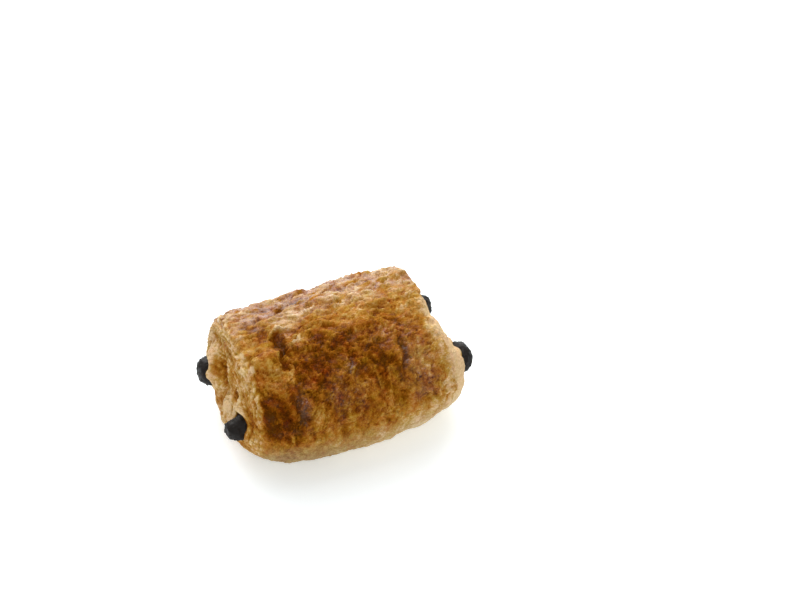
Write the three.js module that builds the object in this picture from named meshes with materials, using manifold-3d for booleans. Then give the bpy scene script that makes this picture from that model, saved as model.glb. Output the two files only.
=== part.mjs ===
// A pain au chocolat: a sheet of laminated dough rolled round two chocolate sticks, baked lying on its seam.
// X runs along the sticks, Y to the back and Z up. The origin is under the middle, where the base rests.
import * as THREE from 'three';
import { LoftGeometry } from 'three/addons/geometries/LoftGeometry.js';
import { mergeVertices } from 'three/addons/utils/BufferGeometryUtils.js';
import Module from 'manifold-3d';

// Driving dimensions, in millimetres.
const ROLL_ENDS = { left: -36, right: 34.4 }; // the end faces, along the sticks
const ROLL_WIDTH = 57;
const ROLL_HEIGHT = 35.5;
const MIDDLE_HEIGHT = 18; // of the widest place, which is also about where the sticks run
const BASE_SINK = 2; // dough pressed flat against the tray
const STICK_WIDTH = 8;
const STICK_HEIGHT = 7.4;
const STICK_SWELL = { share: 0.13, reach: 4, inset: 3 }; // where the chocolate rose out of each end
const STICK_GAP = 0.3; // between the chocolate and the dough

// The section's roundness in each quarter: 2 is an ellipse, and more is boxier.
const SQUARENESS = { backTop: 3.1, frontTop: 2.35, under: 2.1 };

// The radius of the rim between crust and end face: tight at the top of the back, wide under the front.
const RIM_RADIUS = { left: { tight: 4, wide: 15 }, right: { tight: 2.8, wide: 10 } };
const TIGHT_RIM_ANGLE = 55; // round the roll, from the back

// How far each end face leans in, in millimetres, from mid-height to the top and from the middle to the back.
const END_LEAN = { left: { up: 2.8, back: 1 }, right: { up: 2, back: -0.2 } };
const END_DOME = 0.8;
const BELLY_SWELL = { height: 3, x: 1, reach: 20 }; // of the underside of the front

// Fineness of the surfaces.
const POINTS_AROUND = 72;
const RINGS_ALONG = 70;
const END_CROWDING = 0.3; // how much closer together the rings lie on the end faces
const STICK_POINTS_AROUND = 20;
const STICK_RINGS = 22;

// Where each stick's middle lies, and how far its right end is raised and turned to the back.
const STICKS = {
  chocolate_stick_front: { length: 83.2, x: 0.4, y: -12.2, z: 15.8, rise: 1.2, turn: 0.2, seed: 0.4 },
  chocolate_stick_back: { length: 81.5, x: 0.6, y: 16.2, z: 16.2, rise: 0.2, turn: 0.8, seed: 2.9 },
};
const STICK_SQUARENESS = { length: 5, section: 2.6 }; // as for the section of the roll

// The line between the turns of the roll, as (y, z) on an end face: from the seam under the base,
// round the outside of both sticks, then between them and over the front one to the sheet's inner edge.
const FOLD_LINE = new THREE.SplineCurve(
  [
    [6, 0], [-3, 4.5], [-11, 6.5], [-17.5, 11], [-18, 20], [-12, 26.5], [-1, 29.5], [11, 28.5],
    [20, 24], [22.5, 15.5], [17.5, 8.5], [9, 8.5], [3.5, 13], [-0.5, 20.5], [-6.5, 22.5],
  ].map(([y, z]) => new THREE.Vector2(y, z)),
);
const FOLD_DEPTH = 1.6;
const FOLD_WIDTH = 2;
const END_WAVES = { height: 0.4, across: 3.1, up: 3.7, start: { left: 2, right: 4 } };

// Swells and hollows of the end faces, at (y, z).
const END_MARKS = {
  left: [
    { y: -12.3, z: 15.6, height: -2, reach: 6 }, // dip round the front stick
    { y: 15.8, z: 16.1, height: 0.6, reach: 7.5 }, // swell round the back stick
    { y: 5.5, z: 24.5, height: -1.6, reach: 5 }, // where the turns part widest
  ],
  right: [
    { y: -12.1, z: 16.4, height: 2.6, reach: 7.5 }, // swell round the front stick
    { y: -18, z: 7, height: 3.6, reach: 9 }, // bulge at the foot of the front
    { y: 3, z: 24.5, height: -2, reach: 6.5 }, // where the turns part widest
    { y: 16.6, z: 16.3, height: -0.8, reach: 7.5 }, // dip round the back stick
  ],
};

// Marks pressed into or raised on the crust: place along X, angle round the roll (0 is the back,
// 90 the top and 180 the front), reach along and round the roll, lean in degrees, and height.
const CRUST_MARKS = [
  { x: -26, angle: 117, along: 3.4, round: 4.6, lean: -20, height: 1.7 }, // blister on the left shoulder
  { x: -17, angle: 91, along: 5, round: 3.4, lean: -12, height: -1.7 }, // torn hollow behind it
  { x: -21, angle: 113, along: 2.9, round: 5, lean: -6, height: -1.4 }, // crack down from the hollow
  { x: -15, angle: 115, along: 3.8, round: 4, lean: 0, height: 0.9 }, // swell beside the crack
  { x: 2, angle: 43, along: 10, round: 2.6, lean: 3, height: -1.1 }, // long crease near the back
  { x: 5, angle: 56, along: 11, round: 3, lean: 3, height: 0.7 }, // swell in front of the crease
  { x: 14, angle: 94, along: 4, round: 2.8, lean: 0, height: -0.5 }, // dip in the top
  { x: 9, angle: 108, along: 12, round: 5, lean: 4, height: 0.7 }, // swell along the front shoulder
  { x: -31.5, angle: 49, along: 3.8, round: 5, lean: 0, height: 0.6 }, // ear at the left end of the top
  { x: 30, angle: 50, along: 3.4, round: 4.5, lean: 0, height: 0.2 }, // ear at the right end of the top
  { x: 1, angle: 146, along: 3, round: 8, lean: 6, height: -0.9 }, // hollow down the front
  { x: 21, angle: 150, along: 3.2, round: 8, lean: 10, height: -0.7 }, // hollow down the front
];

const CRUST_RADIUS = 24; // about how far the crust is from the middle line, for lengths round the roll

// Uneven rising of the dough: waves along and round the roll, each stronger in some patches than in others.
const DOUGH_WAVES = [
  { height: 0.35, along: 7.3, turns: 2, start: 0.6, patch: { along: -19, turns: 3 } },
  { height: 0.3, along: 4.1, turns: -3, start: 2.1, patch: { along: 11, turns: 5 } },
  { height: 0.2, along: 2.7, turns: 7, start: 0, patch: { along: 13, turns: 2 } },
];

const TURN = Math.PI * 2;
const radians = THREE.MathUtils.degToRad;

// Signed power, which turns a circle into a rounded box. Sines that miss zero by a hair are made zero.
function squared(value, squareness) {
  const size = Math.abs(value) < 1e-9 ? 0 : Math.abs(value);
  return Math.sign(value) * size ** (2 / squareness);
}

// A bell from 1 at zero to nearly nothing at twice the reach.
function bell(distance, reach) {
  return Math.exp(-((distance / reach) ** 2));
}

// The section at mid-length, as (y, z) from the middle, before the base is pressed flat.
class RollSection extends THREE.Curve {
  getPoint(t) {
    const across = Math.cos(TURN * t);
    const up = Math.sin(TURN * t);
    const top = across > 0 ? SQUARENESS.backTop : SQUARENESS.frontTop;
    const squareness = up > 0 ? top : SQUARENESS.under;
    const rise = up > 0 ? ROLL_HEIGHT - MIDDLE_HEIGHT : MIDDLE_HEIGHT + BASE_SINK;
    return new THREE.Vector2((ROLL_WIDTH / 2) * squared(across, squareness), rise * squared(up, squareness));
  }
}

// The roll from the side, in one direction out from its middle line: X against the distance out.
function rollProfile(reach, rims) {
  const { left, right } = rims;
  return new THREE.Path()
    .moveTo(ROLL_ENDS.left, 0)
    .lineTo(ROLL_ENDS.left, reach - left)
    .absarc(ROLL_ENDS.left + left, reach - left, left, Math.PI, Math.PI / 2, true)
    .absarc(ROLL_ENDS.right - right, reach - right, right, Math.PI / 2, 0, true)
    .lineTo(ROLL_ENDS.right, 0);
}

// How far the crust stands out of the smooth roll.
function crustRelief(x, angle) {
  let height = 0;
  for (const { height: rise, along, turns, start, patch } of DOUGH_WAVES) {
    height += rise * Math.sin(x / along + turns * angle + start) * Math.sin(x / patch.along + patch.turns * angle);
  }
  for (const mark of CRUST_MARKS) {
    const lean = radians(mark.lean);
    const across = (angle - radians(mark.angle)) * CRUST_RADIUS;
    const along = (x - mark.x) * Math.cos(lean) + across * Math.sin(lean);
    const round = across * Math.cos(lean) - (x - mark.x) * Math.sin(lean);
    height += mark.height * bell(along, mark.along) * bell(round, mark.round);
  }
  return height;
}

// Distance from a point of an end face to the line between the turns.
const foldPoints = FOLD_LINE.getSpacedPoints(260);
function distanceToFold(point) {
  return Math.min(...foldPoints.map((p) => p.distanceTo(point)));
}

// How far an end face stands out at a point, besides its dome.
function endRelief(y, z, side) {
  const point = new THREE.Vector2(y, z);
  let out = END_WAVES.height * Math.sin(y / END_WAVES.across) * Math.sin(z / END_WAVES.up + END_WAVES.start[side]);
  out -= FOLD_DEPTH * bell(distanceToFold(point), FOLD_WIDTH);
  for (const mark of END_MARKS[side]) {
    out += mark.height * bell(Math.hypot(y - mark.y, z - mark.z), mark.reach);
  }
  return out;
}

// Where the rings lie along a profile, from 0 to 1.
const ringPlaces = Array.from({ length: RINGS_ALONG + 1 }, (_, ring) => {
  const place = ring / RINGS_ALONG;
  return place - (END_CROWDING * Math.sin(TURN * place)) / TURN;
});

// One line of dough from the middle of the left end face, over the crust, to the middle of the right one.
function doughLine(corner) {
  const reach = corner.length();
  const outward = corner.clone().normalize();
  const angle = Math.atan2(outward.y, outward.x);
  const turn = angle < -Math.PI / 2 ? angle + TURN : angle;
  const tightness = (1 + Math.cos(angle - radians(TIGHT_RIM_ANGLE))) / 2;
  const rimOf = ({ tight, wide }) => THREE.MathUtils.lerp(wide, tight, tightness);
  const rims = { left: rimOf(RIM_RADIUS.left), right: rimOf(RIM_RADIUS.right) };
  const profile = rollProfile(reach, rims);
  return ringPlaces.map((place) => {
    const { x, y: distance } = profile.getPoint(place);
    const side = x < 0 ? 'left' : 'right';
    const onEnd = 1 - THREE.MathUtils.smoothstep(distance, reach - rims[side], reach);
    const belly = BELLY_SWELL.height * (1 - tightness) * bell(x - BELLY_SWELL.x, BELLY_SWELL.reach);
    const arm = outward.clone().multiplyScalar(distance + (1 - onEnd) * (belly + crustRelief(x, turn)));
    const { up, back } = END_LEAN[side];
    const leanIn = (x / ROLL_ENDS[side]) * ((up * arm.y) / MIDDLE_HEIGHT + (back * arm.x) / (ROLL_WIDTH / 2));
    const dome = END_DOME * (1 - (distance / reach) ** 2);
    const out = onEnd * (dome + endRelief(arm.x, arm.y + MIDDLE_HEIGHT, side)) - leanIn;
    return new THREE.Vector3(x + Math.sign(x) * out, arm.x, Math.max(0, arm.y + MIDDLE_HEIGHT));
  });
}

function doughGeometry() {
  const section = new RollSection();
  section.arcLengthDivisions = 2000;
  const lines = section.getSpacedPoints(POINTS_AROUND).slice(0, -1).map(doughLine);
  return new LoftGeometry(lines[0].map((_, ring) => lines.map((line) => line[ring])));
}

// One chocolate stick, swollen and rounded where it comes out of the dough. Grown, it is its own hole.
function stickGeometry(stick, grown) {
  const tip = stick.length / 2;
  const rings = [];
  for (let i = 0; i <= STICK_RINGS; i += 1) {
    const angle = Math.PI * (i / STICK_RINGS);
    const along = -squared(Math.cos(angle), STICK_SQUARENESS.length);
    const x = along * (tip + grown);
    const share = squared(Math.sin(angle), STICK_SQUARENESS.length);
    const swollen = STICK_SWELL.share * bell(Math.abs(x) - tip + STICK_SWELL.inset, STICK_SWELL.reach);
    const swell = 1 + swollen + 0.03 * Math.sin(x / 5 + stick.seed);
    const ring = [];
    for (let j = 0; j < STICK_POINTS_AROUND; j += 1) {
      const turn = (TURN * j) / STICK_POINTS_AROUND;
      const lump = swell * (1 + 0.05 * Math.sin(3 * turn + stick.seed + x / 9));
      const y = ((STICK_WIDTH / 2) * lump + grown) * share * squared(Math.cos(turn), STICK_SQUARENESS.section);
      const z = ((STICK_HEIGHT / 2) * lump + grown) * share * squared(Math.sin(turn), STICK_SQUARENESS.section);
      ring.push(new THREE.Vector3(
        stick.x + x,
        stick.y + (stick.turn / 2) * along + y,
        stick.z + (stick.rise / 2) * along + z,
      ));
    }
    rings.push(ring);
  }
  return new LoftGeometry(rings);
}

const wasm = await Module();
wasm.setup();

// A closed loft as a solid. Its first and last rings are points, so their flat triangles are dropped.
function toSolid(loft) {
  const skin = new THREE.BufferGeometry().setAttribute('position', loft.attributes.position);
  const merged = mergeVertices(skin.setIndex(loft.index), 1e-4);
  const corners = merged.index.array;
  const triVerts = [];
  for (let i = 0; i < corners.length; i += 3) {
    const [a, b, c] = corners.slice(i, i + 3);
    if (a !== b && b !== c && c !== a) triVerts.push(a, b, c);
  }
  const vertProperties = merged.attributes.position.array;
  return new wasm.Manifold(new wasm.Mesh({ numProp: 3, vertProperties, triVerts: new Uint32Array(triVerts) }));
}

function toGeometry(solid) {
  const { vertProperties, triVerts } = solid.getMesh();
  const geometry = new THREE.BufferGeometry();
  geometry.setAttribute('position', new THREE.BufferAttribute(vertProperties, 3));
  geometry.setIndex(new THREE.BufferAttribute(triVerts, 1));
  geometry.computeVertexNormals();
  return geometry;
}

const bakedDough = new THREE.MeshStandardMaterial({ color: 0xa8702c, roughness: 0.55, metalness: 0 });
const chocolate = new THREE.MeshStandardMaterial({ color: 0x2a2019, roughness: 0.6, metalness: 0 });

const pieces = new THREE.Group();
let dough = toSolid(doughGeometry());
for (const [name, stick] of Object.entries(STICKS)) {
  dough = dough.subtract(toSolid(stickGeometry(stick, STICK_GAP)));
  const mesh = new THREE.Mesh(toGeometry(toSolid(stickGeometry(stick, 0))), chocolate);
  mesh.name = name;
  pieces.add(mesh);
}
const pastry = new THREE.Mesh(toGeometry(dough), bakedDough);
pastry.name = 'pastry';
pieces.add(pastry);

// The middle of the whole outline lies over the origin.
const middle = new THREE.Box3().setFromObject(pieces, true).getCenter(new THREE.Vector3());
pieces.position.set(-middle.x, -middle.y, 0);
const pain = new THREE.Group().add(pieces);
pain.updateMatrixWorld(true);

export default pain;
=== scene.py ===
"""A pain au chocolat on a pale floor: laminated dough, rolled round two chocolate sticks and baked brown."""

import math

import bmesh
import bpy
import numpy as np
from bpy.props import FloatProperty, FloatVectorProperty, IntProperty, PointerProperty
from mathutils import Matrix, Vector, noise


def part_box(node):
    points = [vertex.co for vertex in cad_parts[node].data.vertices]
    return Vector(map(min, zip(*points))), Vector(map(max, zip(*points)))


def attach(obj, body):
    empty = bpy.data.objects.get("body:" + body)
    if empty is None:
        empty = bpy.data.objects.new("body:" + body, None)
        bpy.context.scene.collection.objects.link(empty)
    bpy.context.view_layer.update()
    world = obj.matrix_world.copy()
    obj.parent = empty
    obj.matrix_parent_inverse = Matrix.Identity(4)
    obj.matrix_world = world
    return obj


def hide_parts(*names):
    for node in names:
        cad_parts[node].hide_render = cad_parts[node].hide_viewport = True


bl_info = {
    "name": "Pain au chocolat",
    "version": (1, 0, 0),
    "blender": (4, 5, 0),
    "location": "View3D > Sidebar > Pain",
    "description": "Bakes a pain au chocolat round its solid model and sets it on a studio floor",
    "category": "Object",
}

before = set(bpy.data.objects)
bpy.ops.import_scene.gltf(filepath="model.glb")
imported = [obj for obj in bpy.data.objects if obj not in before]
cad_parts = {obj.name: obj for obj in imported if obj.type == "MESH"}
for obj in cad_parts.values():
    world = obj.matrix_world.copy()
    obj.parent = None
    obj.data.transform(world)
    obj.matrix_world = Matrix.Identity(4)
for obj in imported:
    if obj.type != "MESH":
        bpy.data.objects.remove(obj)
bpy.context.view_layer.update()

MM = 0.001
MERGE_DISTANCE = 0.001 * MM

# The chocolate sticks: the middle and the sides of each.
STICK_NAMES = ("front", "back")
STICK_BOXES = [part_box(f"chocolate_stick_{name}") for name in STICK_NAMES]
STICKS = [((low + high) / 2, high - low) for low, high in STICK_BOXES]
SCROLL_MIDDLE = (STICKS[0][0] + STICKS[1][0]) / 2

# The roll's middle line runs along X. Angles go round it: 0 is the back, 90 the top and 180 the front.
AXIS_Y = 0.8 * MM
AXIS_Z = 18 * MM
CRUST_RADIUS = 24 * MM
LEFT, RIGHT = -1, 1

# The camera's picture in pixels, its sensor in millimetres, the point that it aims at and that point's pixel.
PICTURE = (800, 600)
SENSOR = 36
AIM = Vector((-0.4 * MM, AXIS_Y, AXIS_Z))
AIM_PIXEL = (334, 363)

# The soft lights by the setting that holds their power: place and side in metres.
SOFTBOXES = {
    "back_light": ((0.25, 0.8, 0.5), 1.2),
    "top_light": ((0, 0.6, 1.1), 1.6),
    "front_light": ((-0.3, -1.1, 1.0), 0.5),
}

# From here on distances without MM are in millimetres, and a pair for a ramp says where it is 0 and where 1.

# Along X: where the marks on the ends come in, where the sticks are melted, where the right half's looks turn
# into the left one's, and where the relief of the ends gets weaker.
END_START = (25, 33)
MELTED_START = (35, 38)
RIGHT_TO_LEFT = (20, -20)
WEAKER_START = (0, 20)

# Uneven patterns: size of the waves in millimetres, in every direction or along, round and out of the roll,
# how many layers of waves there are, and where in the noise they start.
PATTERNS = {
    "drift": ((7, 7, 50), 2, 3.1),
    "folds": ((3.8, 8.5, 40), 3, 11.7),
    "wrinkles": ((6, 2.6, 40), 3, 5.3),
    "blisters on top": ((3.0, 2.0, 40), 3, 7.9),
    "blisters in front": ((2.3, 2.8, 40), 3, 8.8),
    "shoulder lumps": ((3.6, 3.6, 40), 1, 2.9),
    "ridges": ((1.7, 2.6, 40), 2, 14.9),
    "grain": (1.1, 2, 1.3),
    "torn layers": ((7, 5, 40), 3, 21.4),
    "end drift": (5, 2, 4.4),
    "end pits": (1.7, 2, 9.2),
    "end blisters": (3.1, 2, 2.6),
    "end grain": (1.0, 2, 36.5),
    "end specks": (0.8, 1, 23.7),
    "patches": ((5, 6, 50), 3, 31.2),
    "streaks": ((2.2, 5, 50), 2, 17.5),
    "stripes": ((3.6, 1.8, 50), 2, 27.3),
    "mottle": (1.5, 2, 13.8),
    "egg wash": ((4.5, 2.4, 50), 2, 41.8),
    "chocolate lumps": (2.2, 3, 6.6),
    "chocolate crumbs": (0.9, 2, 3.3),
}
# How much finer each layer of waves is than the one before, and the power of that by which it is weaker.
FINER, WEAKER = 2.0, 1.0
# What folded waves come to on average.
MEAN_PUFF = 0.25

# How much of the dough's relief is left at the foot, and the heights over which it comes in.
RELIEF_AT_FOOT = 0.4
RELIEF_START = (0.2, 3)
RELIEF_GROWTH = (7, 18)

# How far a face leans to the end where the crust gives way to the end faces.
CRUST_LEAN = (0.85, 0.45)
BROWNED_LEAN = (0.85, 0.6)

# How far below the shoulder the front takes over from the top, in the relief and in the browning.
FRONT_RELIEF = (-5, 3)
FRONT_BROWN = (-9, 3)

# The shoulder's lumps by place below it and reach, and how wide the ridges are in their pattern.
LUMPS_PLACE = (-4, 4)
RIDGE_WIDTH = 0.12

# How far the drift moves the crust's patterns along, round and outwards, the front's edge and the creases.
WARP = (2.2, 1.4, 0)
FRONT_DRIFT = 1.5
CREASE_DRIFT = 1.2
CREASE_GRAIN = 0.5

# Torn layers: the levels of their pattern where they step up, over how much of it, the grain in it, and each
# step's light crest and dark dip by strength, place and width.
TEARS = (-0.22, 0.02, 0.27)
TEAR_STEP = 0.05
TEAR_GRAIN = 0.12
TEAR_EDGE = [(1.1, 0.065, 0.035), (-1.5, -0.01, 0.03)]

# Flakes by the distance from their middle, where 1 is their reach: the rim, the hollow and its thickness, the
# light crest and the dark dip, and how ragged drift, wrinkles and grain make them.
FLAKE_RIM = (1.06, 0.88)
FLAKE_HOLLOW = (0.4, 0.9)
HOLLOW_THICKNESS = 0.75
FLAKE_EDGE = [(1.0, 0.88, 0.09), (-1.2, 1.08, 0.07)]
FLAKE_RAGGEDNESS = (0.225, 0.1575, 0.1125)

# Edge of the crust: how ragged drift and grain make it, its crest by place inside the rim and reach, and the
# drop outside it with its depth.
RIM_RAGGEDNESS = (1.6, 0.7)
RIM_CREST = (0.9, 1.1)
RIM_DROP = (-0.2, -1.2)
DROP_DEPTH = 0.6

# End faces: how far their layers waver, the levels of their pattern where pits lie, what is left of the
# relief at the right, and the lip round a stick by distance and reach, with where the relief comes in.
LAYER_WAVER = 1.1
PIT_LEVELS = (0.22, 0.5)
RIGHT_RELIEF = 0.5
LIP_PLACE = (1.3, 0.9)
RELIEF_FROM_STICK = (0.2, 2.5)

# Browning of the crust, from 0 for pale dough to 1 for the darkest: the top, what the front has more, and
# what each pattern, the dips (painted shade, with painted sheen on the ridges), the light edges and the left
# rim change, with that rim's place and reach.
TOP_BROWNING = 0.56
FRONT_BROWNING = 0.2
PATCH_BROWNING = 0.08
MOTTLE_BROWNING = 0.1
STREAK_BROWNING = 0.15
STRIPE_BROWNING = 0.1
DIP_SHADE_AND_RIDGE_SHEEN = 0.17
EDGE_PALENESS = 0.1
RIM_BROWNING = 0.1
RIM_LINE = (0.8, 1.2)

# The height of relief that counts as 1 in the browning, where dips get painted shade and ridges painted
# sheen, and how much it counts at most.
FULL_RELIEF = 0.4 * MM
RELIEF_LIMIT = 1.5

# Browning of the foot: at the middle, what it loses with each millimetre to the right and at the base, what
# patches, mottle and relief change, the relief's share being painted shade in the dips, and the heights of
# the base and of the crust's beginning.
FOOT_BROWNING = 0.3
FOOT_FADING = 0.006
BASE_PALENESS = 0.18
FOOT_SHARES = (0.08, 0.16, -0.1)
BASE_HEIGHTS = (11, 2)
FOOT_HEIGHTS = (13.5, 21)

# Browning of the right and of the left end face: the dough, its mottle with painted shade in its dips, and
# its specks, and the line between the turns with its width.
END_BROWNING = (0.02, 0.15)
END_MOTTLE_AND_DIP_SHADE = (0.06, 0.18)
SPECK_BROWNING = (0, 0.14)
SCROLL_BROWNING = (0.14, 0.3)
SCROLL_WIDTH = (1, 2.2)

# How far inside its rim the browned crust begins, how ragged patches, streaks and mottle make it, how much of
# that the rim and the foot follow, and how ragged patches make the marks on the ends.
RIGHT_BEGINNING = (-2.5, 4.5)
LEFT_BEGINNING = (-1.0, 1.2)
BROWN_RAGGEDNESS = (1.1, 0.8, 0.5)
RAGGED_RIM = 1.3
RAGGED_FOOT = 2.0
RAGGED_MARKS = 1.2

# Browning of the dough round the sticks, and how far it reaches.
STICK_BROWNING = 0.5
STICK_REACH = 0.5

# The foot's painted shade, which makes it duller, darker and yellower: its heights, where along X it gets
# stronger, and how strong it is before that.
FOOT_SHADE_HEIGHTS = (18, 9)
FOOT_SHADE_START = (5, -20)
LEAST_FOOT_SHADE = 0.45

# Egg wash: its shine on the top and the angles where that begins, its level and unevenness, what its patches
# add everywhere, and where it begins inside the rims and above the foot.
TOP_SHINE = 1.3
SHINE_ANGLES = (86, 46)
SHINE_LEVEL = 0.6
SHINE_UNEVENNESS = 0.9
SHINE_PATCHES = 0.25
SHINE_RIM = (-2, 1)
SHINE_HEIGHTS = (14, 22)

# How much crumbs add to the chocolate's lumps, and how dark and how light its colour gets.
CRUMB_SHARE = 1.2
CHOCOLATE_SHADES = (0.7, 1.6)

# The dough's material: the browning by its grain and where there is none, the grain levels where pale specks
# are painted as glints and how pale they are, the browning of each colour, and the roughness of pale and of
# brown dough.
GRAIN_BROWNING = (0.85, -0.41)
GLINT_GRAIN_LEVELS = (0.58, 0.66)
PAINTED_GLINT_PALENESS = (0, -0.28)
COLOUR_STOPS = (0.0, 0.28, 0.52, 0.76, 1.0)
PALE_TO_BROWN = (0.2, 0.8)
ROUGHNESS = (0.62, 0.42)

# Its hue, where 0.5 changes nothing: the size of its unevenness, its range and what warmth adds, and how much
# of the colour's saturation and value is left where the foot's painted shade is strongest.
HUE_SIZE = 3.5 * MM
HUE_NOISE = (0.25, 0.75)
HUES = (0.482, 0.514)
WARM_HUE = -0.014
MOST_FOOT_SHADE = {"Saturation": 0.8, "Value": 0.86}

# Points to each stretch of the curves of the scroll and of the creases.
SCROLL_STEPS = 14
CREASE_STEPS = 16

# Where the browned crust ends at the left and the right, by the angle round the roll.
RIM_ANGLES = [-90, 0, 55, 80, 95, 115, 127, 140, 155, 171, 270]
LEFT_RIM = [-33, -32, -32.3, -32, -31.5, -31, -31.5, -32.5, -33.5, -34.5, -35]
RIGHT_RIM = [33.5, 33.5, 33.5, 31.5, 29.5, 27.5, 27, 27.5, 29, 29.5, 29.5]

# The shoulder where the light top turns into the dark front: angle by place along X.
SHOULDER_X = [-34, -26, -21, -16, -5, 6, 13, 18, 22, 30]
SHOULDER_ANGLE = [128, 120, 108, 107, 105, 104, 107, 112, 119, 124]

# Raised flakes with a golden edge: middle along X, angle, reach along and round, and height in millimetres.
FLAKES = [
    (-25.5, 118, 5, 5, 0.85),  # blister on the left shoulder
    (-14, 112, 2.6, 2.6, 0.6),  # small one beside the crack
    (-9, 92, 5.5, 3.0, 0.5),  # lip to the right of the crack
    (2, 84, 7, 3.0, 0.4),
    (14, 86, 6, 3.6, 0.4),
    (25, 100, 5, 5, 0.35),
    (-28, 60, 5, 5, 0.4),
    (-14, 66, 7, 2.6, 0.35),
    (9, 62, 8, 2.8, 0.35),
    (25, 58, 5, 4, 0.3),
    (-4, 20, 9, 4, 0.4),
    (20, 15, 7, 5, 0.35),
    (-24, 5, 6, 4, 0.35),
    (24, 160, 4.5, 5, 0.3),
    (-9, 152, 2.6, 8, 0.35),
    (6, 150, 2.4, 9, 0.35),
]

# Creases in the crust: depth and half width in millimetres, and points along it by place along X and angle.
# Those with a depth below zero are ridges.
CREASES = [
    (1.6, 0.9, [(-17.5, 86), (-19.3, 98), (-19, 112), (-21.5, 128)]),  # crack beside the left blister
    (0.6, 1.3, [(-20, 88), (-14, 84), (-9, 88)]),  # edge of the torn hollow
    (-0.9, 0.6, [(-22, 87), (-18, 80), (-14, 78)]),  # its lips
    (-1.2, 0.7, [(-17.6, 108), (-15, 107), (-11.5, 101)]),
    (-0.7, 0.6, [(-20, 128), (-21, 135), (-22, 143)]),
    (0.5, 0.9, [(-27, 66), (-18, 56), (-8, 46), (3, 43), (13, 41), (24, 44)]),  # along the back of the top
    (0.4, 0.8, [(-6, 70), (4, 64), (15, 62)]),
    (0.4, 0.8, [(8, 100), (14, 93), (21, 84)]),
    (-0.7, 0.8, [(11.5, 117), (10.5, 126), (9, 135)]),
    (-0.6, 0.8, [(16, 119), (14.5, 128), (13, 137)]),
    (-0.5, 0.7, [(-1.5, 144), (-3.5, 153)]),
    (-0.4, 0.7, [(-19.5, 150), (-21, 160)]),
    (0.25, 1.1, [(-7, 110), (-10.5, 138), (-13, 162)]),  # down the front
    (0.4, 1.0, [(2.5, 112), (-2, 138), (-7, 160)]),
    (0.35, 0.9, [(11, 120), (7.5, 146), (6.5, 162)]),
    (0.25, 0.9, [(17, 126), (13.5, 156)]),
    (0.5, 1.0, [(-30, 15), (-12, 22), (8, 14), (27, 20)]),  # down the back
    (0.4, 0.9, [(-24, -12), (-4, -4), (18, -10)]),
]

# Gentle rises and dips of the whole surface: middle along X, angle, reach along and round, and height in
# millimetres.
RISES = [
    (-14, 44, 10, 8, -1.0),  # back of the top, at the left
    (-8, 28, 12, 7, -0.8),
    (-30, 25, 5, 7, -1.3),
    (18, 44, 16, 9, -0.5),  # back of the top, at the right
    (5, 26, 9, 6, -0.5),
    (28, 24, 6, 6, -0.5),
    (-36, 42, 6, 9, -0.6),  # upper left end
    (-36, 8, 4, 6, -1.0),
    (-38, -32, 4, 4, -1.0),  # lower left end
    (-37, -85, 4, 6, 1.0),
    (-37, 235, 5, 7, 1.3),
    (36, 84, 5, 7, -1.3),  # upper right end
    (34, 112, 5, 5, -1.6),
    (34, 134, 4, 4, -0.7),
    (36.5, 168, 4, 4, 2.0),  # dough that swells over the front stick
    (38, 201, 3, 4, -0.6),
    (-32, 208, 6, 6, -0.1),  # foot at the left of the front
    (-13, 200, 10, 6, 1.3),  # foot at the middle of the front
    (6, 208, 9, 6, 0.6),
    (26, 205, 5, 5, -0.8),  # foot at the right of the front
]

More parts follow.
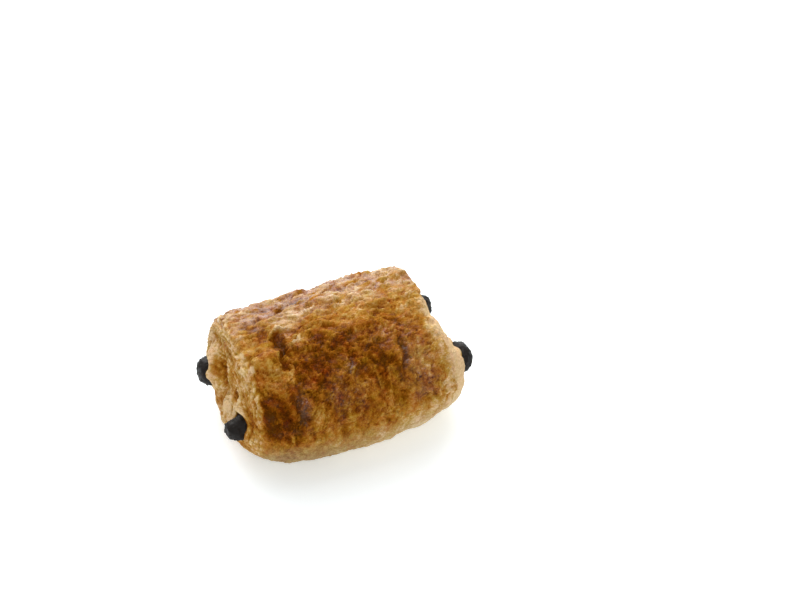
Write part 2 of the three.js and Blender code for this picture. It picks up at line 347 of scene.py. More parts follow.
# Places where the crust is browner or paler: middle along X, angle, reach along and round, and how much.
BROWNING_MARKS = [
    (-27, 164, 6.5, 6, 0.26),  # dark patch low on the left of the front
    (-33, 172, 3, 6, 0.2),
    (-25, 137, 5, 5, -0.3),  # golden part above it
    (-23.8, 129, 2.2, 3.5, -0.24),
    # Paler here: partly real, partly a painted sheen.
    (-18.5, 165, 2.2, 3.5, -0.2),  # pale streak beside it
    (-20, 150, 2.6, 5, 0.2),
    (-15.5, 150, 3, 6, 0.14),  # orange-brown middle of the front
    (-10.5, 138, 3, 6, 0.12),
    (-13.5, 126, 2.5, 3, -0.14),
    (-3, 140, 3, 4, 0.12),
    # The paler strips here are partly real and partly painted sheen.
    (-7.5, 158, 3, 5, -0.24),  # lighter strips below it
    (-11, 167, 2.2, 3, 0.18),
    (1.5, 149, 2.2, 4, -0.18),
    (8.5, 160, 3, 5, -0.12),
    (12.5, 122, 4, 4, -0.22),  # light ridges on the shoulder
    (9, 132, 2.4, 3, 0.22),
    (15, 137, 5, 4, 0.22),
    (26, 144, 3, 5, -0.28),
    (-16.5, 77, 3, 3, -0.32),  # torn hollow
    (-18.8, 98, 2.5, 2.5, 0.3),
    (-14.5, 106, 3.2, 1.8, -0.36),
    (-21, 134, 1.4, 3.5, -0.2),  # light edge beside the crack
    (-25, 70, 3, 12, 0.1),  # brown patches of the top
    (-14, 57, 3, 3, 0.12),
    (-5, 93, 5, 4, 0.17),
    (2, 43, 12, 1.6, 0.12),  # along the crease near the back
    # The paler marks on the back of the top are partly real and partly painted sheen.
    (9, 48, 7, 6, -0.2),  # pale back of the top
    (-25.5, 43, 2.6, 3, -0.22),
    (6, 66, 6, 4, -0.28),
    (16, 68, 6, 4, -0.26),
    (9, 84, 4, 4, -0.26),
    (18.5, 84, 4, 3, -0.14),
    (9, 101, 2.5, 3, -0.16),
    (22.5, 103, 3, 5, -0.26),
    (-9, 65, 7, 3.5, -0.26),
    (24, 38, 4, 5, -0.26),  # right end of the top
    (27, 64, 5, 7, -0.28),
    (28, 101, 3, 4, -0.14),
    (-22, 117, 2.4, 3.5, -0.26),  # edge of the blister on the left shoulder
    (-28, 126, 2.4, 3, -0.18),
    (-32, 75, 4.5, 14, -0.3),  # left end of the top
    # Paler patch at the right of the front: partly real, partly a painted sheen.
    (21, 151, 6, 7, -0.34),  # pale patch at the right of the front
    (20, 168, 4, 3, 0.24),
    (27, 173, 3, 4, -0.6),
    (-16, 172, 3.5, 7, -0.3),  # where the pale foot reaches higher
    (-5, 181, 6, 5, -0.28),
    (3, 172, 3, 5, 0.1),
    (6, 176, 3, 4, -0.28),
    (16.5, 176, 4, 5, -0.26),
    (-33, 22, 2, 2, 0.25),  # brown corner at the upper left
]

# Places of the left end that are browner or paler: to the back, up, reach, and how much.
END_MARKS = [
    (10.5, 23.7, 2.4, 0.35),  # along the recess between the turns
    (7, 22.6, 2.6, 0.55),
    (4.7, 19.6, 2, 0.35),
    (22.5, 22, 4, -0.38),
    (-0.8, 25.6, 2.2, 0.25),
    (-4.7, 21.5, 2.2, 0.4),  # spot above the front stick
    (16, 24, 4, -0.2),  # cream patch above the back stick
    (-6.6, 27.5, 3, -0.25),
    (-19, 22, 4, 0.36),  # lower edge at the front
    (0.2, 16.5, 3.5, -0.4),  # bump between the sticks
    (11.5, 20, 2, 0.14),
    (-10, 22, 2.5, -0.1),
    (21, 9, 5, 0.12),
]

# Places where an end rises or dips: to the back, up, reach, and height in millimetres.
LEFT_END_RISES = [
    (16, 22, 3, 2.6),  # dough that swells over the back stick
    (12.6, 21.8, 2.4, 1.5),
    (11, 18.5, 2.6, 3.4),
    (-16.8, 14, 3.2, 1.8),  # dough that swells round the front stick
    (-10.5, 21.8, 2, 1.4),
]
RIGHT_END_RISES = [
    (-10, 22.5, 3, -2.4),  # dip above the front stick
]

# The melted ends of each stick: which end, and how far it swells and sags, in millimetres.
MELTED_ENDS = {
    "front": [(LEFT, 0, 0.9), (RIGHT, 1.2, 0)],
    "back": [(LEFT, 0.8, 1.0), (RIGHT, 0.4, 0)],
}

# Places where the crust is more orange, given as the browner ones are.
WARM_MARKS = [
    (-14, 138, 5, 4.5, 0.65),
    (-27, 154, 4, 4, 0.6),
    (1, 124, 4, 3, 0.4),
    (15, 124, 4, 4, 0.5),
]

# Places where more egg wash shines, given in the same way.
GLOSS_MARKS = [
    (19, 153, 5, 8, 0.8),
    (-20.5, 160, 2, 5, 0.5),
    (-9, 161, 3, 5, 0.45),
    (-2.5, 148, 1.5, 5, 0.5),
    (-16, 82, 4, 4, 0.5),
    (-17, 106, 4, 2, 0.4),
    (-10, 64, 8, 2.5, 0.6),
    (12, 124, 4, 4, 0.3),
]

# The line between the turns of the roll, in millimetres to the back and up from midway between the sticks.
SCROLL = [
    (4, -16), (-5, -11.5), (-13, -9.5), (-19.5, -5), (-20, 4), (-14, 10.5), (-3, 13.5), (9, 12.5),
    (18, 8), (20.5, -0.5), (15.5, -7.5), (7, -7.5), (1.5, -3), (-2.5, 4.5), (-8.5, 6.5),
]


def from_hex(code):
    """The linear colour of an sRGB hex code such as 0xA8702C."""
    shares = [((code >> shift) & 255) / 255 for shift in (16, 8, 0)]
    return [c / 12.92 if c <= 0.04045 else ((c + 0.055) / 1.055) ** 2.4 for c in shares]


def length(name, description, millimetres, least=0):
    """A setting that is a length, with its default and its least value in millimetres."""
    return FloatProperty(
        name=name, description=description, default=millimetres * MM, min=least * MM, unit="LENGTH")


def tint(name, description, code):
    """A setting that is a colour, given by its hex code."""
    return FloatVectorProperty(
        name=name, description=description, default=from_hex(code), min=0, max=1, subtype="COLOR")


class PastrySettings(bpy.types.PropertyGroup):
    """Sizes and colours of the baked dough."""

    fineness: length("Fineness", "Side of the small faces of the crust", 0.49, 0.3)
    smoothing: IntProperty(
        name="Smoothing", description="How often the solid's flat faces are evened out", default=14, min=0)
    fold_height: length("Fold height", "Height of the folds that run down the front", 0.55)
    wrinkle_height: length("Wrinkle height", "Height of the wrinkles that run along the top", 0.48)
    blister_height: length("Blister height", "Height of the small blisters all over the crust", 0.65)
    flake_thickness: length("Flake thickness", "Height of the step at a torn edge of the top layers", 0.36)
    sinking: length("Sinking", "How far the whole crust sinks to make room for its relief", 0.25)
    grain_height: length("Grain height", "Height of the fine grain all over the crust", 0.22)
    ridge_height: length("Ridge height", "Height of the thin ridges on the front", 0.2)
    rim_height: length("Rim height", "Height of the browned crust's edge over the pale ends", 0.5)
    shoulder_height: length("Shoulder height", "Height of the lumps where the top turns into the front", 1.1)
    layer_spacing: length("Layer spacing", "Distance between the layers that show at the ends", 1.25)
    layer_depth: length("Layer depth", "Depth of the grooves between those layers", 0.22)
    pit_depth: length("Pit depth", "Depth of the small pits in the ends", 0.5)
    end_blister_height: length("End blister height", "Height of the soft blisters on the ends", 0.7)
    end_grain_height: length("End grain height", "Height of the fine grain on the ends", 0.16)
    lip_height: length("Lip height", "Height of the dough's lip round each stick", 0.4)
    grain_size: length("Grain size", "Size of the finest grain, which only the material shows", 0.65)
    pale: tint("Pale dough", "Dough at the ends and the foot", 0xE4C496)
    straw: tint("Straw dough", "Dough where the browning starts", 0xBC8E44)
    gold: tint("Golden crust", "Lightly browned crust", 0xA66C1C)
    brown: tint("Brown crust", "Well browned crust", 0x7F4602)
    # The darkest crust also goes into the dips as painted shade.
    dark: tint("Dark crust", "Darkest crust, in dips and patches", 0x522900)


class ChocolateSettings(bpy.types.PropertyGroup):
    """Sizes and colours of the chocolate sticks."""

    fineness: length("Fineness", "Side of the small faces of the chocolate", 0.36, 0.2)
    smoothing: IntProperty(
        name="Smoothing", description="How often the solids' flat faces are evened out", default=14, min=0)
    lump_height: length("Lump height", "Height of the lumps on the melted ends", 0.35)
    grain_size: length("Grain size", "Size of the finest grain, which only the material shows", 1.1)
    colour: tint("Chocolate", "Colour of the baked chocolate", 0x16100C)


class StageSettings(bpy.types.PropertyGroup):
    """Camera, lights and floor."""

    distance: length("Camera distance", "From the camera to the middle of the roll", 600)
    azimuth: FloatProperty(
        name="Camera azimuth", description="Turn of the camera round the pastry",
        default=math.radians(-24.4), unit="ROTATION")
    elevation: FloatProperty(
        name="Camera elevation", description="Height of the camera as an angle",
        default=math.radians(39), unit="ROTATION")
    focal_length: FloatProperty(name="Focal length", description="Of the lens, in millimetres", default=85)
    floor_size: FloatProperty(
        name="Floor size", description="Side of the square floor", default=20, unit="LENGTH")
    back_light: FloatProperty(
        name="Back light", description="Power of the soft light behind the pastry", default=10.5,
        unit="POWER")
    top_light: FloatProperty(
        name="Top light", description="Power of the soft light above the pastry", default=9,
        unit="POWER")
    front_light: FloatProperty(
        name="Front light", description="Power of the soft fill light beside the camera", default=4,
        unit="POWER")
    surround: FloatProperty(
        name="Surround", description="Brightness of the white studio around", default=0.5)
    floor_glow: FloatProperty(
        name="Floor glow", description="Brightness of the floor's own light, as of a light table",
        default=0.36)
    floor_colour: FloatVectorProperty(
        name="Floor colour", description="Colour of the pale floor", subtype="COLOR",
        default=(0.87, 0.91, 0.93), min=0, max=1)
    glow_colour: FloatVectorProperty(
        name="Glow colour", description="Colour of the floor's own light", subtype="COLOR",
        default=(0.92, 0.98, 1), min=0, max=1)


def new_object(name, mesh):
    """An object in the scene that shows the mesh, at the origin."""
    piece = bpy.data.objects.new(name, mesh)
    bpy.context.scene.collection.objects.link(piece)
    return piece


def even_copy(node, name, fineness, smoothing):
    """A copy of a solid with small even faces, and its facets smoothed away."""
    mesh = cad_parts[node].data.copy()
    form = bmesh.new()
    form.from_mesh(mesh)
    bmesh.ops.remove_doubles(form, verts=form.verts, dist=MERGE_DISTANCE)
    form.to_mesh(mesh)
    form.free()
    piece = new_object(name, mesh)
    remesh = piece.modifiers.new("even faces", "REMESH")
    remesh.mode = "VOXEL"
    remesh.voxel_size = fineness
    smooth = piece.modifiers.new("smooth", "SMOOTH")
    smooth.factor = 0.5
    smooth.iterations = smoothing
    graph = bpy.context.evaluated_depsgraph_get()
    finished = bpy.data.meshes.new_from_object(piece.evaluated_get(graph), depsgraph=graph)
    piece.modifiers.clear()
    piece.data = finished
    finished.name = name
    finished.materials.clear()
    finished.polygons.foreach_set("use_smooth", [True] * len(finished.polygons))
    return piece


def points_of(mesh):
    """The places of the mesh's points, one row each."""
    flat = np.empty(len(mesh.vertices) * 3, np.float32)
    mesh.vertices.foreach_get("co", flat)
    return flat.reshape(-1, 3).astype(float)


def normals_of(mesh):
    """The directions that the mesh's points face, one row each."""
    flat = np.empty(len(mesh.vertices) * 3, np.float32)
    mesh.vertex_normals.foreach_get("vector", flat)
    return flat.reshape(-1, 3).astype(float)


def move_points(mesh, places):
    """Moves the mesh's points, and keeps them from sinking into the floor."""
    places[:, 2] = np.maximum(places[:, 2], 0)
    mesh.vertices.foreach_set("co", places.astype(np.float32).ravel())
    mesh.update()


def store(mesh, name, values):
    """Keeps a number for each point, for the material to read."""
    mesh.attributes.new(name, "FLOAT", "POINT").data.foreach_set("value", values.astype(np.float32))


def waves(places, name):
    """One of the uneven patterns at places in millimetres, from about -1 to 1."""
    sizes, layers, start = PATTERNS[name]
    scaled = places / np.array(sizes) + start
    return np.array([noise.fractal(Vector(p), WEAKER, FINER, layers) for p in scaled])


def puffs(places, name):
    """An uneven pattern of round puffs with sharp dips between them, about zero on average."""
    return np.abs(waves(places, name)) - MEAN_PUFF


def ramp(values, low, high):
    """0 below low, 1 above high and smooth between. High may be the lower one."""
    share = np.clip((values - low) / (high - low), 0, 1)
    return share * share * (3 - 2 * share)


def hump(values, place, reach):
    """1 at the place, and nearly nothing past twice the reach from it."""
    away = (values - place) / reach
    return np.exp(-away * away)


def between(start, stop, share):
    """A value on the way from start to stop."""
    return start + (stop - start) * share


def mixture(shares, *patterns):
    """The patterns added up, each by its share."""
    return sum(share * pattern for share, pattern in zip(shares, patterns))


def edge_of(values, lines):
    """Crests and dips beside an edge, each with its strength, place and width."""
    return sum(strength * hump(values, place, width) for strength, place, width in lines)


class Roll:
    """Where each point of the dough lies on the roll, and the patterns that more than one relief follows."""

    def __init__(self, places, normals):
        self.x = places[:, 0] / MM
        self.z = places[:, 2] / MM
        up = places[:, 2] - AXIS_Z
        across = places[:, 1] - AXIS_Y
        angle = np.degrees(np.arctan2(up, across))
        self.angle = np.where(angle < -90, angle + 360, angle)
        self.round = np.radians(self.angle) * CRUST_RADIUS / MM
        self.unrolled = np.stack([self.x, self.round, np.hypot(up, across) / MM], axis=1)
        self.places = places / MM
        left = np.interp(self.angle, RIM_ANGLES, LEFT_RIM)
        right = np.interp(self.angle, RIM_ANGLES, RIGHT_RIM)
        self.inside_rims = np.minimum(self.x - left, right - self.x)
        self.below_shoulder = self.around(np.interp(self.x, SHOULDER_X, SHOULDER_ANGLE))
        self.facing_end = np.abs(normals[:, 0])
        self.on_crust = ramp(self.facing_end, *CRUST_LEAN)
        self.strength = ramp(self.z, *RELIEF_START)
        self.strength *= between(RELIEF_AT_FOOT, 1, ramp(self.z, *RELIEF_GROWTH))
        self.to_scroll = self.distance_to_scroll(places)
        self.to_stick = self.distance_to_stick(places)
        self.rise = self.sum_of(RISES)
        self.rise += self.sum_at_end(LEFT, LEFT_END_RISES) + self.sum_at_end(RIGHT, RIGHT_END_RISES)
        self.drift = waves(self.unrolled, "drift")
        self.warped = self.unrolled + np.outer(self.drift, WARP)
        self.front = ramp(self.below_shoulder + FRONT_DRIFT * self.drift, *FRONT_RELIEF)
        self.wrinkles = waves(self.warped, "wrinkles")
        self.grain = waves(self.places, "grain")

    def around(self, angle):
        """How far each point lies from an angle, going round to the front, in millimetres."""
        return np.radians(self.angle - angle) * CRUST_RADIUS / MM

    def sum_of(self, marks):
        """What soft marks add up to, by their middle along X, angle, reach along and round, and amount."""
        return sum(
            amount * hump(self.x, x, along) * hump(self.around(angle), 0, around)
            for x, angle, along, around, amount in marks)

    def sum_at_end(self, side, marks, drift=0):
        """What soft marks on one end add up to, by their place to the back and up, reach and amount."""
        return ramp(side * self.x, *END_START) * sum(
            amount * hump(np.hypot(self.places[:, 1] - y, self.z - z) + drift, 0, reach)
            for y, z, reach, amount in marks)

    def distance_to_scroll(self, places):
        """How far each point is from the line between the turns, seen from the end, in millimetres."""
        middle = np.array([SCROLL_MIDDLE.y, SCROLL_MIDDLE.z]) / MM
        line = curve_through([Vector((y, z)) for y, z in SCROLL], SCROLL_STEPS)
        return distance_to(line, places[:, 1:] / MM - middle)

    def distance_to_stick(self, places):
        """How far each point is outside the nearer chocolate stick, seen from the end, in millimetres."""
        nearest = np.full(len(places), np.inf)
        for middle, sides in STICKS:
            across = (places[:, 1] - middle.y) / (sides.y / 2)
            up = (places[:, 2] - middle.z) / (sides.z / 2)
            beyond = (across ** 4 + up ** 4) ** 0.25 - 1
            nearest = np.minimum(nearest, beyond * sides.y / 2 / MM)
        return nearest

    def distance_to_crease(self, points, drift):
        """How far each point is from a crease on the unrolled crust, in millimetres."""
        unrolled = [Vector((x, math.radians(angle) * CRUST_RADIUS / MM)) for x, angle in points]
        wavering = np.stack([self.x + drift, self.round + drift], axis=1)
        return distance_to(curve_through(unrolled, CREASE_STEPS), wavering)


def distance_to(line, places):
    """The distance of each place to the nearest point of a line."""
    nearest = np.full(len(places), np.inf)
    for point in line:
        nearest = np.minimum(nearest, np.hypot(places[:, 0] - point[0], places[:, 1] - point[1]))
    return nearest


def curve_through(points, steps):
    """Points of a smooth curve through the given ones."""
    ends = [points[0] * 2 - points[1], *points, points[-1] * 2 - points[-2]]
    line = []
    for before, start, stop, after in zip(ends, ends[1:], ends[2:], ends[3:]):
        for step in range(steps):
            t = step / steps
            line.append(0.5 * (
                2 * start + (stop - before) * t
                + (2 * before - 5 * start + 4 * stop - after) * t ** 2
                + (3 * start - before - 3 * stop + after) * t ** 3
            ))
    return np.array([*line, points[-1]])


def crust_relief(roll, settings):
    """Height of the folded, blistered and creased crust over the smooth roll, in metres."""
    on_top = puffs(roll.warped, "blisters on top")
    in_front = puffs(roll.warped, "blisters in front")
    lumps = np.abs(waves(roll.warped, "shoulder lumps")) * hump(roll.below_shoulder, *LUMPS_PLACE)
    ridges = hump(waves(roll.warped, "ridges"), 0, RIDGE_WIDTH)
    height = settings.fold_height * roll.front * waves(roll.warped, "folds")
    height += settings.wrinkle_height * (1 - roll.front) * roll.wrinkles
    height += settings.blister_height * between(on_top, in_front, roll.front)
    height += settings.shoulder_height * lumps
    height += settings.grain_height * roll.grain + settings.ridge_height * roll.front * ridges
    drift = CREASE_DRIFT * (roll.drift + CREASE_GRAIN * roll.grain)
    for depth, width, points in CREASES:
        height -= depth * MM * hump(roll.distance_to_crease(points, drift), 0, width)
    return height


def torn_relief(roll, settings):
    """Height of the torn layers and the raised flakes, in metres, and how light their edges are."""
    height = np.zeros(len(roll.x))
    edges = np.zeros(len(roll.x))
    torn = waves(roll.warped, "torn layers") + TEAR_GRAIN * roll.grain
    for level in TEARS:
        height += settings.flake_thickness * (ramp(torn, level, level + TEAR_STEP) - 0.5)
        edges += edge_of(torn - level, TEAR_EDGE)
    from_rim = roll.inside_rims + mixture(RIM_RAGGEDNESS, roll.drift, roll.grain)
    height += settings.rim_height * (hump(from_rim, *RIM_CREST) - DROP_DEPTH * ramp(from_rim, *RIM_DROP))
    ragged = mixture(FLAKE_RAGGEDNESS, roll.drift, roll.wrinkles, roll.grain)
    for x, angle, along, around, thick in FLAKES:
        away = np.hypot((roll.x - x) / along, roll.around(angle) / around) + ragged
        hollow = between(HOLLOW_THICKNESS, 1, ramp(away, *FLAKE_HOLLOW))
        height += thick * MM * ramp(away, *FLAKE_RIM) * hollow
        edges += edge_of(away, FLAKE_EDGE)
    return height, edges


def end_relief(roll, settings):
    """Height of the end faces over the smooth roll, in metres: layers, pits and blisters."""
    wavering = roll.to_scroll + LAYER_WAVER * waves(roll.places, "end drift")
    layers = np.sin(wavering * 2 * math.pi * MM / settings.layer_spacing)
    pits = ramp(waves(roll.places, "end pits"), *PIT_LEVELS)
    height = settings.layer_depth * layers - settings.pit_depth * pits
    height += settings.end_blister_height * puffs(roll.places, "end blisters")
    height *= between(1, RIGHT_RELIEF, ramp(roll.x, *WEAKER_START))
    height += settings.end_grain_height * waves(roll.places, "end grain")
    lip = settings.lip_height * hump(roll.to_stick, *LIP_PLACE)
    return height * ramp(roll.to_stick, *RELIEF_FROM_STICK) + lip


def browning(roll, relief, edges):
    """How browned each point is, from 0 at the pale ends to 1 in the darkest dips; dips get painted shade and
    ridges painted sheen.
    """
    patches = waves(roll.unrolled, "patches")
    streaks = waves(roll.unrolled, "streaks")
    stripes = waves(roll.unrolled, "stripes")
    mottle = waves(roll.places, "mottle")
    # Relief that drives the painted shade in dips and the painted sheen on ridges.
    height = np.clip(relief / FULL_RELIEF, -RELIEF_LIMIT, RELIEF_LIMIT)
    left = ramp(roll.x, *RIGHT_TO_LEFT)

    front = ramp(roll.below_shoulder + FRONT_DRIFT * patches, *FRONT_BROWN)
    crust = TOP_BROWNING + FRONT_BROWNING * front + PATCH_BROWNING * patches + MOTTLE_BROWNING * mottle
    crust += between(STRIPE_BROWNING * stripes, STREAK_BROWNING * streaks, front)
    crust += roll.sum_of(BROWNING_MARKS)
    # Dips darker as painted shade and ridges paler as painted sheen; light edges paler.
    crust -= DIP_SHADE_AND_RIDGE_SHEEN * height + EDGE_PALENESS * edges
    crust += RIM_BROWNING * left * hump(roll.inside_rims, *RIM_LINE)

    foot = FOOT_BROWNING - FOOT_FADING * roll.x - BASE_PALENESS * ramp(roll.z, *BASE_HEIGHTS)
    # The relief's share paints shade into the foot's dips.
    foot += mixture(FOOT_SHARES, patches, mottle, height)

    # Ends darker in their dips as painted shade, on top of their mottle.
    ends = between(*END_BROWNING, left) + between(*END_MOTTLE_AND_DIP_SHADE, left) * (mottle - height)
    ends += between(*SPECK_BROWNING, left) * waves(roll.places, "end specks")
    ends += between(*SCROLL_BROWNING, left) * hump(roll.to_scroll, 0, between(*SCROLL_WIDTH, left))
    ends += roll.sum_at_end(LEFT, END_MARKS, RAGGED_MARKS * patches)
    ends += STICK_BROWNING * hump(np.maximum(roll.to_stick, 0), 0, STICK_REACH)

    ragged = mixture(BROWN_RAGGEDNESS, patches, streaks, mottle)
    sides = between(foot, crust, ramp(roll.z + RAGGED_FOOT * ragged, *FOOT_HEIGHTS))
    from_rim = roll.inside_rims + RAGGED_RIM * ragged
    into_crust = between(ramp(from_rim, *RIGHT_BEGINNING), ramp(from_rim, *LEFT_BEGINNING), left)
    into_crust *= ramp(roll.facing_end, *BROWNED_LEAN)
    return np.clip(between(ends, sides, into_crust), 0, 1)


def warmth(roll):
    """How orange each point is: above zero in warm patches, and below it at the foot, where painted shade
    makes it duller, darker and yellower.
    """
    # Painted shade of the foot: stronger lower down and further left.
    foot = ramp(roll.z, *FOOT_SHADE_HEIGHTS) * roll.on_crust * between(LEAST_FOOT_SHADE, 1, ramp(roll.x, *FOOT_SHADE_START))
    return roll.sum_of(WARM_MARKS) - foot


def gloss(roll):
    """How much egg wash shines on each point: most on the top, little down the front."""
    patches = waves(roll.unrolled, "egg wash")
    on_top = TOP_SHINE * ramp(roll.angle, *SHINE_ANGLES)
    shine = on_top * np.clip(SHINE_LEVEL + SHINE_UNEVENNESS * patches, 0, 1) + SHINE_PATCHES * patches
    shine += roll.sum_of(GLOSS_MARKS)
    return np.clip(shine, 0, 1) * ramp(roll.inside_rims, *SHINE_RIM) * ramp(roll.z, *SHINE_HEIGHTS)


def link(tree, source, target):
    """Joins two sockets, each given as (node, socket)."""
    tree.links.new(source[0].outputs[source[1]], target[0].inputs[target[1]])


def new_material(name, **values):
    """A node material with its shader, whose plain values are given by name."""
    material = bpy.data.materials.new(name)
    material.use_nodes = True
    shader = next(n for n in material.node_tree.nodes if n.type == "BSDF_PRINCIPLED")
    for socket, value in values.items():
        shader.inputs[socket.replace("_", " ")].default_value = value
    return material, shader


def add(tree, kind, place, **values):
    """A node of the tree, with its properties and inputs set by name."""
    node = tree.nodes.new(kind)
    node.location = place
    for name, value in values.items():
        if hasattr(node, name):
            setattr(node, name, value)
        else:
            node.inputs[name.replace("_", " ")].default_value = value
    return node


def reckoned(tree, operation, place, *terms, **values):
    """A Math node, each of whose terms is a number or another node's socket, given as (node, socket)."""
    node = add(tree, "ShaderNodeMath", place, operation=operation, **values)
    for number, term in enumerate(terms):
        if isinstance(term, tuple):
            link(tree, term, (node, number))
        else:
            node.inputs[number].default_value = term
    return node


def mapped(tree, place, source, given, wanted):
    """A node that carries a socket's values from the given range over to the wanted one."""
    node = add(tree, "ShaderNodeMapRange", place)
    for name, value in zip(("From Min", "From Max", "To Min", "To Max"), (*given, *wanted)):
        node.inputs[name].default_value = value
    link(tree, source, (node, "Value"))
    return node


def grain_group():
    """Fine grain of baked food: uneven values and a height, at a size that each material gives."""
    group = bpy.data.node_groups.new("fine grain", "ShaderNodeTree")
    place = group.interface.new_socket("Place", in_out="INPUT", socket_type="NodeSocketVector")
    place.description = "Where on the piece, in metres"
    size = group.interface.new_socket("Size", in_out="INPUT", socket_type="NodeSocketFloat")
    size.default_value = 1 * MM
    group.interface.new_socket("Value", in_out="OUTPUT", socket_type="NodeSocketFloat")
    group.interface.new_socket("Height", in_out="OUTPUT", socket_type="NodeSocketFloat")
    inlet = add(group, "NodeGroupInput", (-800, 0))
    outlet = add(group, "NodeGroupOutput", (500, 0))
    scale = reckoned(group, "DIVIDE", (-600, -120), 1, (inlet, "Size"))
    coarse = add(group, "ShaderNodeTexNoise", (-350, 150), Detail=4.0, Roughness=0.6)
    pores = add(group, "ShaderNodeTexVoronoi", (-350, -150), feature="SMOOTH_F1", Smoothness=0.6)
    for texture in (coarse, pores):
        link(group, (inlet, "Place"), (texture, "Vector"))
        link(group, (scale, "Value"), (texture, "Scale"))
    both = reckoned(group, "ADD", (250, -80), (coarse, "Fac"), (pores, "Distance"))
    link(group, (coarse, "Fac"), (outlet, "Value"))
    link(group, (both, "Value"), (outlet, "Height"))
    return group


def use_group(tree, group, place, size):
    """The group as a node, at its place in the tree and with its size of grain."""
    node = add(tree, "ShaderNodeGroup", place)
    node.node_tree = group
    node.inputs["Size"].default_value = size
    return node


def dough_material(settings, grain):
    """Baked dough: pale to dark brown by how browned it is, glossy where the egg wash lies."""
    material, shader = new_material("baked dough", Coat_Roughness=0.2, Specular_IOR_Level=0.02)
    tree = material.node_tree
    where = add(tree, "ShaderNodeTexCoord", (-1300, -200))
    fine = use_group(tree, grain, (-1050, -100), settings.grain_size)
    link(tree, (where, "Object"), (fine, "Place"))

    browned = add(tree, "ShaderNodeAttribute", (-1300, 200), attribute_name="browning")
    centred = reckoned(tree, "MULTIPLY_ADD", (-850, 0), (fine, "Value"), *GRAIN_BROWNING)
    # Pale specks where the grain peaks: painted glints.
    specks = mapped(tree, (-850, -160), (fine, "Value"), GLINT_GRAIN_LEVELS, PAINTED_GLINT_PALENESS)
    grainy = reckoned(tree, "ADD", (-740, 0), (centred, "Value"), (specks, "Result"))
    level = reckoned(tree, "ADD", (-650, 150), (browned, "Fac"), (grainy, "Value"), use_clamp=True)
    colours = add(tree, "ShaderNodeValToRGB", (-450, 250))
    for stop in COLOUR_STOPS[1:-1]:
        colours.color_ramp.elements.new(stop)
    doughs = (settings.pale, settings.straw, settings.gold, settings.brown, settings.dark)
    for element, stop, colour in zip(colours.color_ramp.elements, COLOUR_STOPS, doughs):
        element.position = stop
        element.color = (*colour, 1)
    link(tree, (level, "Value"), (colours, "Fac"))

    uneven = add(tree, "ShaderNodeTexNoise", (-1050, 700), Scale=1 / HUE_SIZE, Detail=3.0, Roughness=0.65)
    link(tree, (where, "Object"), (uneven, "Vector"))
    hue = mapped(tree, (-650, 700), (uneven, "Fac"), HUE_NOISE, HUES)
    # Warmth, and below zero the foot's painted shade.
    warmth_and_shade = add(tree, "ShaderNodeAttribute", (-1050, 450), attribute_name="warmth")
    turned = reckoned(tree, "MULTIPLY_ADD", (-450, 700), (warmth_and_shade, "Fac"), WARM_HUE, (hue, "Result"))
    warmed_and_shaded = add(tree, "ShaderNodeHueSaturation", (-200, 500))
    link(tree, (turned, "Value"), (warmed_and_shaded, "Hue"))
    # Where the foot has its painted shade, less saturation and value are left.
    for quality, dullest in MOST_FOOT_SHADE.items():
        foot_shade_node = mapped(tree, (-450, 500), (warmth_and_shade, "Fac"), (-1, 0), (dullest, 1))
        link(tree, (foot_shade_node, "Result"), (warmed_and_shaded, quality))
    link(tree, (colours, "Color"), (warmed_and_shaded, "Color"))
    link(tree, (warmed_and_shaded, "Color"), (shader, "Base Color"))

    rough = mapped(tree, (-450, -50), (level, "Value"), PALE_TO_BROWN, ROUGHNESS)
    link(tree, (rough, "Result"), (shader, "Roughness"))
    wash = add(tree, "ShaderNodeAttribute", (-450, -320), attribute_name="gloss")
    link(tree, (wash, "Fac"), (shader, "Coat Weight"))
    bump = add(tree, "ShaderNodeBump", (-250, -500), Strength=0.9, Distance=0.4 * MM)
    link(tree, (fine, "Height"), (bump, "Height"))
    link(tree, (bump, "Normal"), (shader, "Normal"))
    return material


def chocolate_material(settings, grain):
    """Dark chocolate that melted and set again: dull, with a fine uneven grain."""
    material, shader = new_material("baked chocolate", Roughness=0.5, Specular_IOR_Level=0.2)
    tree = material.node_tree
    where = add(tree, "ShaderNodeTexCoord", (-900, 0))
    fine = use_group(tree, grain, (-700, 0), settings.grain_size)
    link(tree, (where, "Object"), (fine, "Place"))
    bloom = add(tree, "ShaderNodeMix", (-300, 200), data_type="RGBA")
    for socket, shade in zip("AB", CHOCOLATE_SHADES):
        bloom.inputs[socket].default_value = (*[shade * c for c in settings.colour], 1)
    link(tree, (fine, "Value"), (bloom, "Factor"))
    link(tree, (bloom, "Result"), (shader, "Base Color"))
    bump = add(tree, "ShaderNodeBump", (-300, -200), Strength=0.5, Distance=0.15 * MM)
    link(tree, (fine, "Height"), (bump, "Height"))
    link(tree, (bump, "Normal"), (shader, "Normal"))
    return material


class PAIN_OT_pastry(bpy.types.Operator):
    """Bake the rolled dough: its folds, blisters, torn layers and browned crust"""

    bl_idname = "pain.pastry"
    bl_label = "Bake the pastry"

    def execute(self, context):
        settings = context.scene.pain_pastry
        piece = even_copy("pastry", "baked_pastry", settings.fineness, settings.smoothing)
        mesh = piece.data
        places = points_of(mesh)
        normals = normals_of(mesh)
        roll = Roll(places, normals)
        torn_layers, edges = torn_relief(roll, settings)
        fine = between(end_relief(roll, settings), crust_relief(roll, settings), roll.on_crust)
        relief = (fine + torn_layers * roll.on_crust - settings.sinking) * roll.strength + roll.rise * MM
        move_points(mesh, places + normals * relief[:, None])
        store(mesh, "browning", browning(roll, fine, edges))
        # Warmth, with the foot's painted shade below zero.
        store(mesh, "warmth", warmth(roll))
        store(mesh, "gloss", gloss(roll))
        mesh.materials.append(dough_material(settings, bpy.data.node_groups["fine grain"]))
        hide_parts("pastry")
        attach(piece, "root")
        return {"FINISHED"}


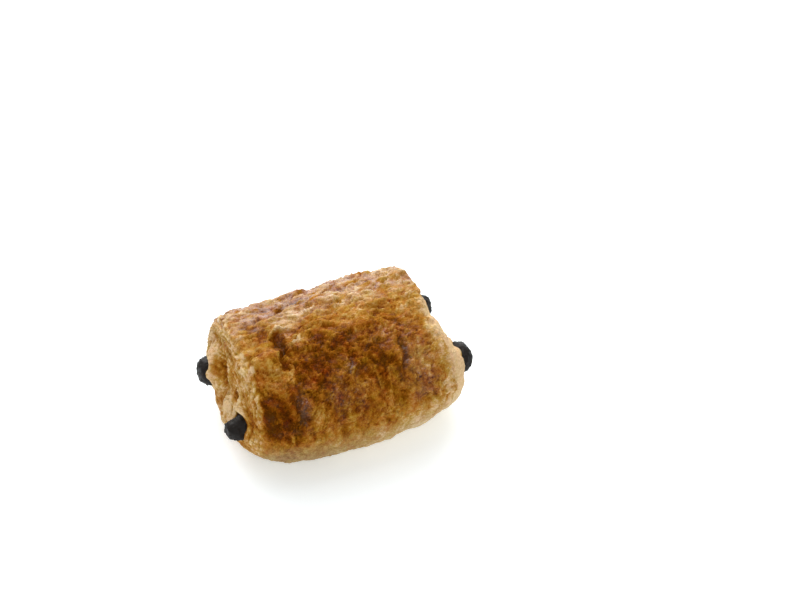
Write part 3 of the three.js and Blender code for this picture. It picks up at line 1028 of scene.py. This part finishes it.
class PAIN_OT_chocolate(bpy.types.Operator):
    """Make the two chocolate sticks, lumpy where they melted out of the ends"""

    bl_idname = "pain.chocolate"
    bl_label = "Make the chocolate sticks"

    def execute(self, context):
        settings = context.scene.pain_chocolate
        material = chocolate_material(settings, bpy.data.node_groups["fine grain"])
        for name in STICK_NAMES:
            solid = f"chocolate_stick_{name}"
            piece = even_copy(solid, f"melted_stick_{name}", settings.fineness, settings.smoothing)
            mesh = piece.data
            places = points_of(mesh)
            normals = normals_of(mesh)
            lumps = waves(places / MM, "chocolate lumps")
            lumps += CRUMB_SHARE * puffs(places / MM, "chocolate crumbs")
            move = normals * settings.lump_height * lumps[:, None]
            for end, swelling, sag in MELTED_ENDS[name]:
                melted = ramp(end * places[:, 0] / MM, *MELTED_START)[:, None]
                move += melted * MM * (swelling * normals * (0, 1, 1) - np.array([0, 0, sag]))
            move_points(mesh, places + move)
            mesh.materials.append(material)
            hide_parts(solid)
            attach(piece, "root")
        return {"FINISHED"}


class PAIN_OT_stage(bpy.types.Operator):
    """Set up the floor, the soft lights and the camera"""

    bl_idname = "pain.stage"
    bl_label = "Set up the stage"

    def execute(self, context):
        settings = context.scene.pain_stage
        floor_under(settings)
        light_from(settings)
        camera_for(settings)
        return {"FINISHED"}


def floor_under(settings):
    """A plain pale floor."""
    form = bmesh.new()
    bmesh.ops.create_grid(form, x_segments=1, y_segments=1, size=settings.floor_size / 2)
    mesh = bpy.data.meshes.new("floor")
    form.to_mesh(mesh)
    form.free()
    material, _ = new_material(
        "pale floor", Roughness=0.8, Specular_IOR_Level=0.1, Emission_Strength=settings.floor_glow,
        Base_Color=(*settings.floor_colour, 1), Emission_Color=(*settings.glow_colour, 1))
    mesh.materials.append(material)
    new_object("floor", mesh)


def softbox(name, place, size, power):
    """A square soft light that faces the pastry."""
    light = bpy.data.lights.new(name, "AREA")
    light.shape = "SQUARE"
    light.size = size
    light.energy = power
    lamp = bpy.data.objects.new(name, light)
    lamp.location = place
    lamp.rotation_euler = (-Vector(place)).to_track_quat("-Z", "Y").to_euler()
    bpy.context.scene.collection.objects.link(lamp)


def light_from(settings):
    """Soft light from behind and above, in a white studio."""
    scene = bpy.context.scene
    scene.view_settings.view_transform = "Standard"
    world = bpy.data.worlds.new("white studio")
    world.use_nodes = True
    background = world.node_tree.nodes["Background"]
    background.inputs["Color"].default_value = (1, 1, 1, 1)
    background.inputs["Strength"].default_value = settings.surround
    scene.world = world
    for name, (place, side) in SOFTBOXES.items():
        softbox(name.replace("_", " "), place, side, getattr(settings, name))


def camera_for(settings):
    """A camera that sees the aimed-at point at its pixel of the picture, without any shift."""
    scene = bpy.context.scene
    camera = bpy.data.cameras.new("camera")
    camera.lens = settings.focal_length
    camera.sensor_width = SENSOR
    eye = bpy.data.objects.new("camera", camera)
    turn, rise = settings.azimuth, settings.elevation
    back = Vector((math.sin(turn) * math.cos(rise), -math.cos(turn) * math.cos(rise), math.sin(rise)))
    right = Vector((math.cos(turn), math.sin(turn), 0))
    up = back.cross(right)
    axes = Matrix((right, up, back)).transposed()
    pixels = settings.focal_length / SENSOR * PICTURE[0]
    ray = Vector((AIM_PIXEL[0] - PICTURE[0] / 2, PICTURE[1] / 2 - AIM_PIXEL[1], -pixels)).normalized()
    eye.matrix_world = Matrix.Translation(AIM - settings.distance * (axes @ ray)) @ axes.to_4x4()
    scene.collection.objects.link(eye)
    scene.camera = eye


class PAIN_PT_panel(bpy.types.Panel):
    """The steps of making the pastry, and what can be changed"""

    bl_idname = "PAIN_PT_panel"
    bl_label = "Pain au chocolat"
    bl_space_type = "VIEW_3D"
    bl_region_type = "UI"
    bl_category = "Pain"

    def draw(self, context):
        for operator, settings in STEPS:
            box = self.layout.box()
            box.operator(operator.bl_idname)
            group = getattr(context.scene, settings)
            for name in group.__annotations__:
                box.prop(group, name)


STEPS = [
    (PAIN_OT_pastry, "pain_pastry"),
    (PAIN_OT_chocolate, "pain_chocolate"),
    (PAIN_OT_stage, "pain_stage"),
]
SETTINGS = {
    "pain_pastry": PastrySettings,
    "pain_chocolate": ChocolateSettings,
    "pain_stage": StageSettings,
}


def register():
    for name, settings in SETTINGS.items():
        bpy.utils.register_class(settings)
        setattr(bpy.types.Scene, name, PointerProperty(type=settings))
    for operator, _ in STEPS:
        bpy.utils.register_class(operator)
    bpy.utils.register_class(PAIN_PT_panel)


def unregister():
    bpy.utils.unregister_class(PAIN_PT_panel)
    for operator, _ in reversed(STEPS):
        bpy.utils.unregister_class(operator)
    for name, settings in reversed(SETTINGS.items()):
        delattr(bpy.types.Scene, name)
        bpy.utils.unregister_class(settings)


def main():
    register()
    grain_group()
    bpy.ops.pain.pastry()
    bpy.ops.pain.chocolate()
    bpy.ops.pain.stage()


if __name__ == "__main__":
    main()
